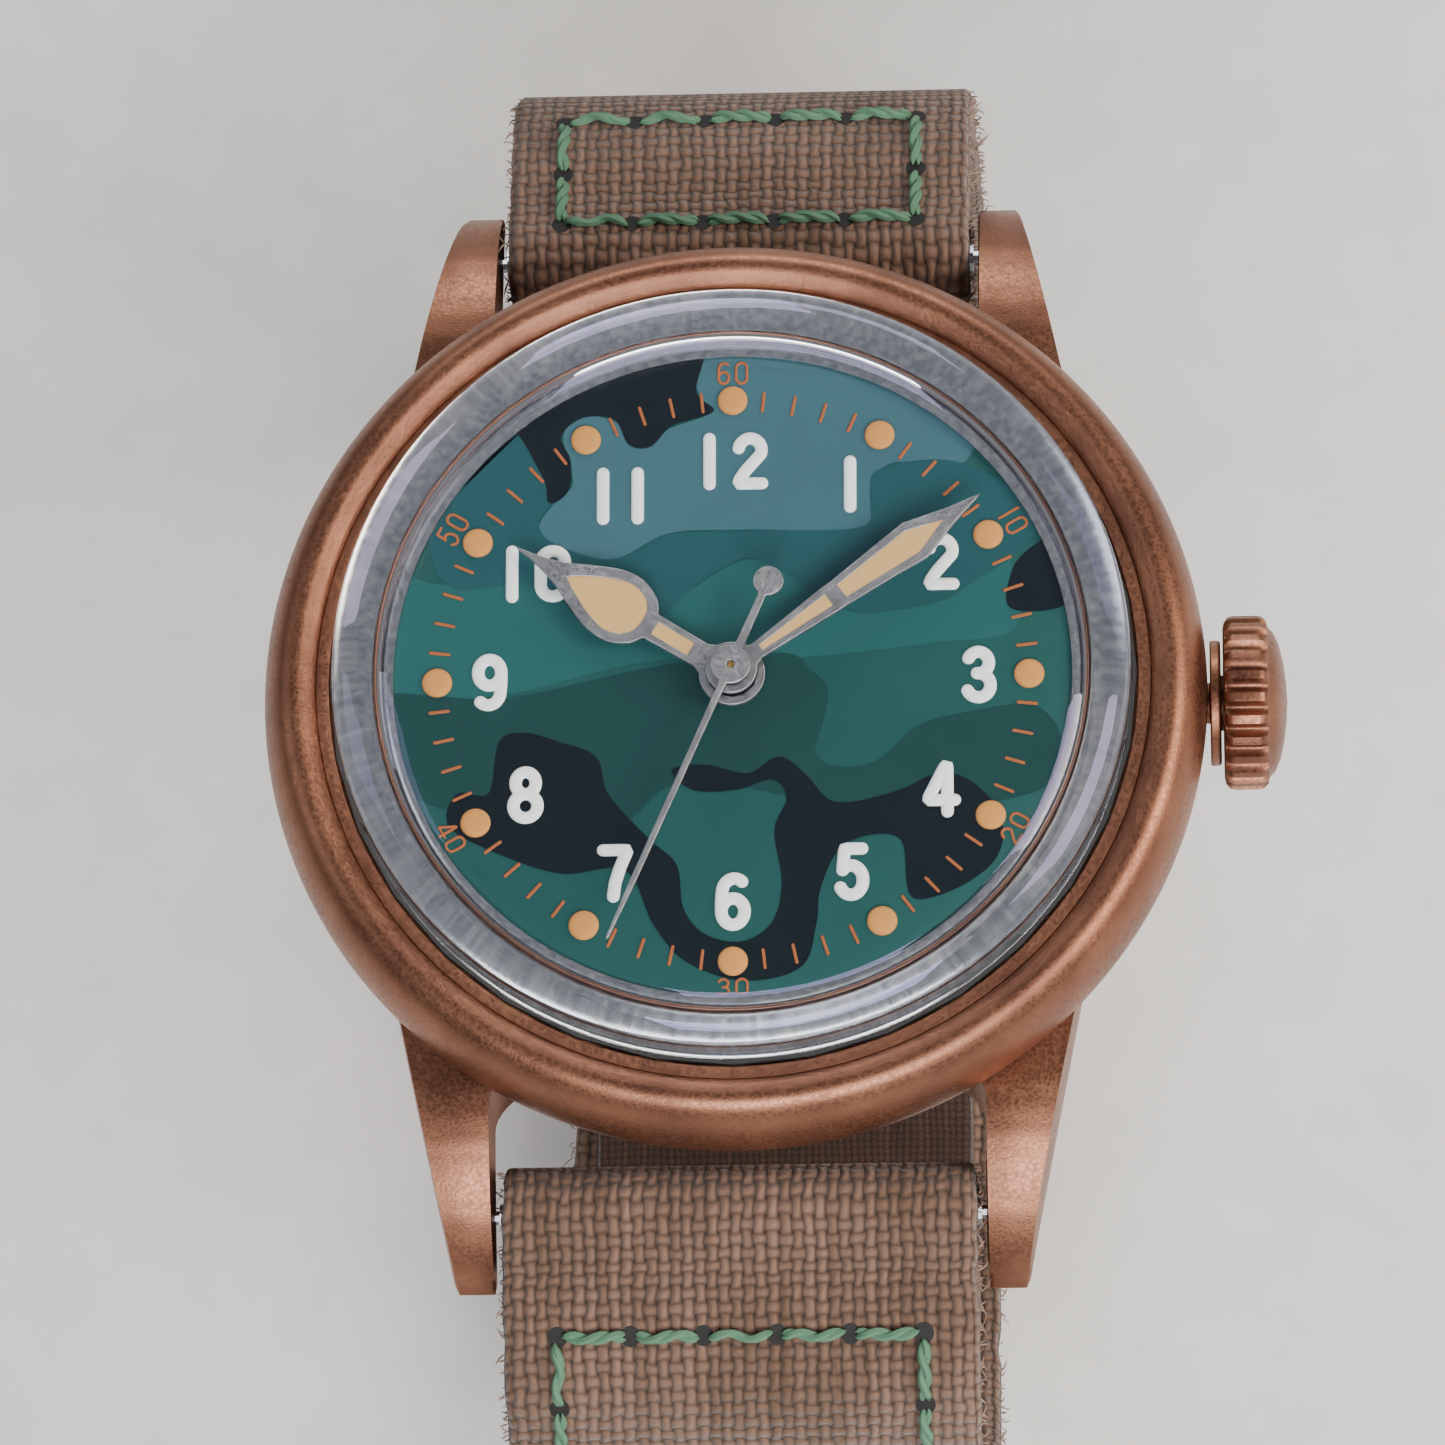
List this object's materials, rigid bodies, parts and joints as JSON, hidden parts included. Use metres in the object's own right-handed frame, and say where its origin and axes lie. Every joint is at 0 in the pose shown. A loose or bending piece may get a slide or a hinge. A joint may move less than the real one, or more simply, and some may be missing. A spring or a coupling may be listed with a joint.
{
  "type": "wristwatch",
  "caption": "Hand-wound field-style diver wristwatch in a blasted bronze case with a camouflage dial, domed crystal, fluted crown and a buckled canvas strap closed as a loop.",
  "frame": {"origin": "centre of the caseback outer face", "axes": "+Z out of the dial, +Y towards 12 o'clock, +X towards the crown"},
  "size_m": [0.0423, 0.0669, 0.0591],
  "materials": {
    "bronze": "bead-blasted bronze with a warm rose tone",
    "steel": "fine satin and polished steel",
    "brass": "gilt movement brass",
    "nickel": "nickel-plated, finely striped",
    "glass": "clear domed crystal with a faint blue coating",
    "rubber": "matte black seal",
    "dial_paint": "satin camouflage paint in five greens",
    "lume": "raised cream luminous paint",
    "canvas": "coarse plain-woven brown canvas with frayed edges",
    "lining": "dark brown soft leather",
    "thread": "waxed green stitching thread"
  },
  "bodies": {
    "head": {"case_middle": "bronze", "bezel": "bronze", "crystal": "glass", "crystal_gasket": "rubber", "rehaut_ring": "steel", "dial": "dial_paint", "movement_ring": "nickel", "caseback": "bronze", "caseback_gasket": "rubber", "crown_tube": "bronze", "mainplate": "brass", "barrel_bridge": "nickel", "train_bridge": "nickel", "balance_cock": "nickel", "bridge_screw_1": "steel", "bridge_screw_2": "steel", "bridge_screw_3": "steel", "spring_bar_twelve": "steel", "spring_bar_six": "steel", "strap_twelve_canvas": "canvas", "strap_twelve_lining": "lining", "strap_six_canvas": "canvas", "strap_six_lining": "lining", "fixed_keeper": "canvas", "buckle_pin": "steel"},
    "crown_seal": {"crown_gasket": "rubber"},
    "crown": {"crown": "bronze", "stem": "steel"},
    "clutch": {"sliding_clutch": "steel"},
    "winding_pinion": {"winding_pinion": "steel"},
    "crown_wheel": {"crown_wheel": "steel"},
    "ratchet": {"ratchet_wheel": "steel", "barrel_arbor": "steel"},
    "click": {"click": "steel"},
    "setting_lever": {"setting_lever": "steel"},
    "minute_hand": {"minute_hand": "steel", "cannon_pinion": "steel", "centre_wheel": "brass"},
    "hour_hand": {"hour_hand": "steel", "hour_wheel": "brass"},
    "seconds_hand": {"seconds_hand": "steel", "fourth_wheel": "brass"},
    "minute_wheel": {"minute_wheel": "brass"},
    "third_wheel": {"third_wheel": "brass"},
    "barrel": {"barrel": "brass", "mainspring": "steel"},
    "escape_wheel": {"escape_wheel": "steel"},
    "pallet_fork": {"pallet_fork": "steel"},
    "balance": {"balance_wheel": "brass", "hairspring": "steel"},
    "bar_tip_twelve_left": {"bar_tip_twelve_left": "steel"},
    "bar_tip_twelve_right": {"bar_tip_twelve_right": "steel"},
    "bar_tip_six_left": {"bar_tip_six_left": "steel"},
    "bar_tip_six_right": {"bar_tip_six_right": "steel"},
    "buckle_frame": {"buckle_frame": "bronze"},
    "buckle_tongue": {"buckle_tongue": "bronze"},
    "sliding_keeper": {"sliding_keeper": "canvas"}
  },
  "joints": [
    {"name": "crown_pull", "type": "slide", "parent": "head", "child": "crown_seal", "axis": [1, 0, 0], "range_m": [0, 0.001]},
    {"name": "crown_turn", "type": "hinge", "parent": "crown_seal", "child": "crown", "pos_m": [0, 0, 0.004], "axis": [1, 0, 0], "continuous": true},
    {"name": "clutch_slide", "type": "slide", "parent": "crown", "child": "clutch", "axis": [1, 0, 0], "range_m": [-0.00125, 0]},
    {"name": "winding_pinion_turn", "type": "hinge", "parent": "head", "child": "winding_pinion", "pos_m": [0.0092, 0, 0.004], "axis": [1, 0, 0], "continuous": true},
    {"name": "crown_wheel_turn", "type": "hinge", "parent": "head", "child": "crown_wheel", "pos_m": [0.0076, 0, 0.0016], "axis": [0, 0, 1], "continuous": true},
    {"name": "ratchet_turn", "type": "hinge", "parent": "head", "child": "ratchet", "pos_m": [0.00355, 0.00357, 0.0016], "axis": [0, 0, 1], "continuous": true},
    {"name": "click_swing", "type": "hinge", "parent": "head", "child": "click", "pos_m": [0.00234, 0.00811, 0.0016], "axis": [0, 0, 1], "range_deg": [0, 10]},
    {"name": "setting_lever_swing", "type": "hinge", "parent": "head", "child": "setting_lever", "pos_m": [0.0116, -0.00275, 0.0047], "axis": [0, 0, 1], "range_deg": [-26, 0]},
    {"name": "minute_turn", "type": "hinge", "parent": "head", "child": "minute_hand", "pos_m": [0, 0, 0.0088], "axis": [0, 0, 1], "continuous": true},
    {"name": "hour_turn", "type": "hinge", "parent": "head", "child": "hour_hand", "pos_m": [0, 0, 0.0082], "axis": [0, 0, 1], "continuous": true},
    {"name": "seconds_turn", "type": "hinge", "parent": "head", "child": "seconds_hand", "pos_m": [0, 0, 0.0094], "axis": [0, 0, 1], "continuous": true},
    {"name": "minute_wheel_turn", "type": "hinge", "parent": "head", "child": "minute_wheel", "pos_m": [0.00059, -0.00335, 0.0068], "axis": [0, 0, 1], "continuous": true},
    {"name": "third_wheel_turn", "type": "hinge", "parent": "head", "child": "third_wheel", "pos_m": [-0.00063, -0.00355, 0.0029], "axis": [0, 0, 1], "continuous": true},
    {"name": "barrel_turn", "type": "hinge", "parent": "head", "child": "barrel", "pos_m": [0.00355, 0.00357, 0.0044], "axis": [0, 0, 1], "continuous": true},
    {"name": "escape_wheel_turn", "type": "hinge", "parent": "head", "child": "escape_wheel", "pos_m": [-0.00348, -0.00068, 0.0044], "axis": [0, 0, 1], "continuous": true},
    {"name": "pallet_fork_swing", "type": "hinge", "parent": "head", "child": "pallet_fork", "pos_m": [-0.00548, -0.00235, 0.0044], "axis": [0, 0, 1], "range_deg": [-4, 4]},
    {"name": "balance_swing", "type": "hinge", "parent": "head", "child": "balance", "pos_m": [-0.00701, -0.00363, 0.0033], "axis": [0, 0, 1], "range_deg": [-220, 220]},
    {"name": "bar_tip_twelve_left_press", "type": "slide", "parent": "head", "child": "bar_tip_twelve_left", "axis": [1, 0, 0], "range_m": [0, 0.0009]},
    {"name": "bar_tip_twelve_right_press", "type": "slide", "parent": "head", "child": "bar_tip_twelve_right", "axis": [-1, 0, 0], "range_m": [0, 0.0009]},
    {"name": "bar_tip_six_left_press", "type": "slide", "parent": "head", "child": "bar_tip_six_left", "axis": [1, 0, 0], "range_m": [0, 0.0009]},
    {"name": "bar_tip_six_right_press", "type": "slide", "parent": "head", "child": "bar_tip_six_right", "axis": [-1, 0, 0], "range_m": [0, 0.0009]},
    {"name": "buckle_frame_swing", "type": "hinge", "parent": "head", "child": "buckle_frame", "pos_m": [0, 0.009, -0.041], "axis": [1, 0, 0], "range_deg": [0, 6]},
    {"name": "buckle_tongue_swing", "type": "hinge", "parent": "buckle_frame", "child": "buckle_tongue", "pos_m": [0, 0.009, -0.041], "axis": [1, 0, 0], "range_deg": [0, 25]},
    {"name": "sliding_keeper_slide", "type": "slide", "parent": "head", "child": "sliding_keeper", "axis": [0, 1, 0], "range_m": [0, 0.0025]}
  ],
  "couplings": [
    {"joint": "clutch_slide", "follows": "crown_pull", "ratio": -1.2},
    {"joint": "setting_lever_swing", "follows": "crown_pull", "rad_per_m": -430},
    {"joint": "winding_pinion_turn", "follows": "crown_turn", "ratio": 1},
    {"joint": "crown_wheel_turn", "follows": "crown_turn", "ratio": 0.6},
    {"joint": "ratchet_turn", "follows": "crown_turn", "ratio": -0.4},
    {"joint": "hour_turn", "follows": "minute_turn", "ratio": 0.083333},
    {"joint": "seconds_turn", "follows": "minute_turn", "ratio": 60},
    {"joint": "minute_wheel_turn", "follows": "minute_turn", "ratio": -0.33333},
    {"joint": "third_wheel_turn", "follows": "minute_turn", "ratio": -7.5},
    {"joint": "barrel_turn", "follows": "minute_turn", "ratio": -0.16667},
    {"joint": "escape_wheel_turn", "follows": "minute_turn", "ratio": -600}
  ]
}
